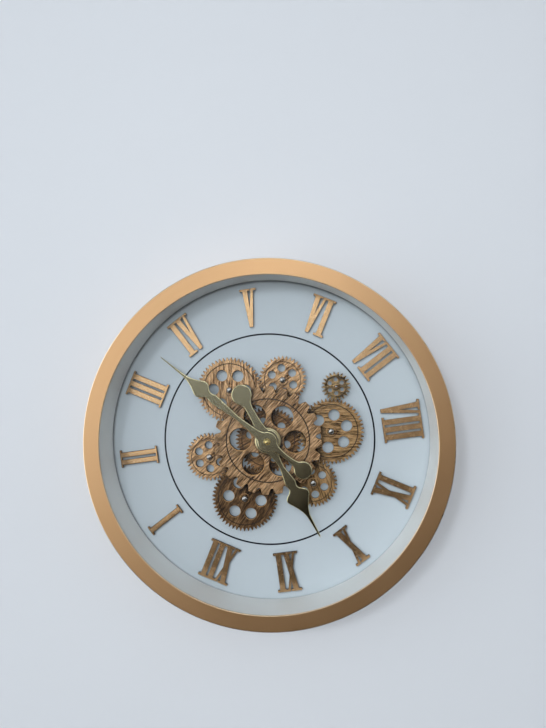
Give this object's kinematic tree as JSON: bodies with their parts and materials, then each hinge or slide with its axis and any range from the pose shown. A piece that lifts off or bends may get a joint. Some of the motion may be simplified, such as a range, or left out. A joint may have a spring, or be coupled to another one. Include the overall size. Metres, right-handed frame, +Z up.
{
  "type": "gear wall clock",
  "caption": "Deep round glazed wall clock with raised Roman numerals, an open train of toothed wheels turned by a battery motor, and spade hands on a quartz movement.",
  "frame": {"origin": "the seat of the keyhole in the hanger plate, in the wall plane behind the case, above the dial's centre", "axes": "+Z up, the front of the clock faces -Y, +Y points into the wall, +X to the right of someone who faces the dial"},
  "size_m": [0.5, 0.088, 0.5],
  "materials": {
    "copper_rim": "satin copper-gold metallic lacquer on spun sheet",
    "clear_glass": "clear, polished flat",
    "grey_rubber": "matt",
    "white_paint": "satin white",
    "dial_paint": "fibreboard painted a satin pale blue-grey white, with a thin dark printed ring",
    "bronze_numeral": "satin bronze lacquer",
    "grained_bronze": "moulded, with a bronze-brown metallic coat in wood-like streaks",
    "steel": "bright",
    "polished_brass": "polished",
    "black_plastic": "fine texture",
    "cell_jacket": "plain printed film jacket",
    "red_plastic": "satin",
    "zinc_plate": "bright zinc passivated"
  },
  "bodies": {
    "case": {"case_rim": "copper_rim", "front_glass": "clear_glass", "glass_gasket": "grey_rubber", "motor_lead": "grey_rubber", "inner_liner": "white_paint", "dial_board": "dial_paint", "numeral_1": "bronze_numeral", "numeral_2": "bronze_numeral", "numeral_3": "bronze_numeral", "numeral_4": "bronze_numeral", "numeral_5": "bronze_numeral", "numeral_6": "bronze_numeral", "numeral_7": "bronze_numeral", "numeral_8": "bronze_numeral", "numeral_9": "bronze_numeral", "numeral_10": "bronze_numeral", "numeral_11": "bronze_numeral", "numeral_12": "bronze_numeral", "top_wheel_axle": "steel", "right_wheel_axle": "steel", "left_wheel_axle": "steel", "right_idler_axle": "steel", "bottom_idler_axle": "steel", "left_idler_axle": "steel", "motor_can": "steel", "hanger_plate": "steel", "centre_bush": "polished_brass", "bush_nut": "polished_brass", "movement_case": "black_plastic", "gearbox": "black_plastic", "battery_box": "black_plastic", "lead_clip": "black_plastic", "movement_cell": "cell_jacket", "motor_cell_lower": "cell_jacket", "motor_cell_upper": "cell_jacket", "rear_ring": "zinc_plate", "gearbox_screw_lower": "zinc_plate", "gearbox_screw_upper": "zinc_plate", "battery_box_screw_lower": "zinc_plate", "battery_box_screw_upper": "zinc_plate", "hanger_rivet_left": "zinc_plate", "hanger_rivet_right": "zinc_plate"},
    "centre_wheels": {"centre_wheel": "grained_bronze", "main_wheel": "grained_bronze"},
    "top_wheel": {"top_wheel": "grained_bronze"},
    "right_wheel": {"right_wheel": "grained_bronze"},
    "left_wheel": {"left_wheel": "grained_bronze"},
    "right_idler": {"right_idler": "grained_bronze"},
    "bottom_idler": {"bottom_idler": "grained_bronze"},
    "left_idler": {"left_idler": "grained_bronze"},
    "drive": {"drive_pinion": "grained_bronze", "motor_shaft": "steel"},
    "minute": {"minute_hand": "polished_brass", "minute_arbor": "polished_brass", "hand_nut": "polished_brass"},
    "hour": {"hour_hand": "polished_brass", "hour_pipe": "polished_brass"},
    "knob": {"setting_knob": "black_plastic"},
    "lid": {"battery_lid": "black_plastic"},
    "switch": {"switch_slider": "red_plastic"}
  },
  "joints": [
    {"name": "centre_wheels_spin", "type": "hinge", "parent": "case", "child": "centre_wheels", "pos_m": [0, -0.0395, -0.205], "axis": [0, 1, 0], "continuous": true},
    {"name": "top_wheel_spin", "type": "hinge", "parent": "case", "child": "top_wheel", "pos_m": [0, -0.0365, -0.115], "axis": [0, 1, 0], "continuous": true},
    {"name": "right_wheel_spin", "type": "hinge", "parent": "case", "child": "right_wheel", "pos_m": [0.07794, -0.0365, -0.25], "axis": [0, 1, 0], "continuous": true},
    {"name": "left_wheel_spin", "type": "hinge", "parent": "case", "child": "left_wheel", "pos_m": [-0.07794, -0.0365, -0.25], "axis": [0, 1, 0], "continuous": true},
    {"name": "right_idler_spin", "type": "hinge", "parent": "case", "child": "right_idler", "pos_m": [0.06884, -0.0365, -0.15038], "axis": [0, 1, 0], "continuous": true},
    {"name": "bottom_idler_spin", "type": "hinge", "parent": "case", "child": "bottom_idler", "pos_m": [0.01288, -0.0365, -0.29193], "axis": [0, 1, 0], "continuous": true},
    {"name": "left_idler_spin", "type": "hinge", "parent": "case", "child": "left_idler", "pos_m": [-0.08172, -0.0365, -0.17269], "axis": [0, 1, 0], "continuous": true},
    {"name": "drive_pinion_spin", "type": "hinge", "parent": "case", "child": "drive", "pos_m": [-0.06087, -0.0365, -0.31158], "axis": [0, 1, 0], "continuous": true},
    {"name": "minute_hand_turn", "type": "hinge", "parent": "case", "child": "minute", "pos_m": [0, -0.06, -0.205], "axis": [0, 1, 0], "continuous": true},
    {"name": "hour_hand_turn", "type": "hinge", "parent": "case", "child": "hour", "pos_m": [0, -0.056, -0.205], "axis": [0, 1, 0], "continuous": true},
    {"name": "setting_knob_turn", "type": "hinge", "parent": "case", "child": "knob", "pos_m": [0.015, -0.008, -0.19], "axis": [0, 1, 0], "continuous": true},
    {"name": "battery_lid_slide", "type": "slide", "parent": "case", "child": "lid", "axis": [1, 0, 0], "range_m": [0, 0.0534]},
    {"name": "switch_slide", "type": "slide", "parent": "case", "child": "switch", "axis": [0, 0, 1], "range_m": [0, 0.004]}
  ],
  "couplings": [
    {"joint": "top_wheel_spin", "follows": "centre_wheels_spin", "ratio": -1},
    {"joint": "right_wheel_spin", "follows": "centre_wheels_spin", "ratio": -1},
    {"joint": "left_wheel_spin", "follows": "centre_wheels_spin", "ratio": -1},
    {"joint": "right_idler_spin", "follows": "centre_wheels_spin", "ratio": 1.3889},
    {"joint": "bottom_idler_spin", "follows": "centre_wheels_spin", "ratio": 1.3889},
    {"joint": "left_idler_spin", "follows": "centre_wheels_spin", "ratio": 1.3889},
    {"joint": "drive_pinion_spin", "follows": "centre_wheels_spin", "ratio": 2.381},
    {"joint": "hour_hand_turn", "follows": "minute_hand_turn", "ratio": 0.083333},
    {"joint": "setting_knob_turn", "follows": "minute_hand_turn", "ratio": 1}
  ]
}
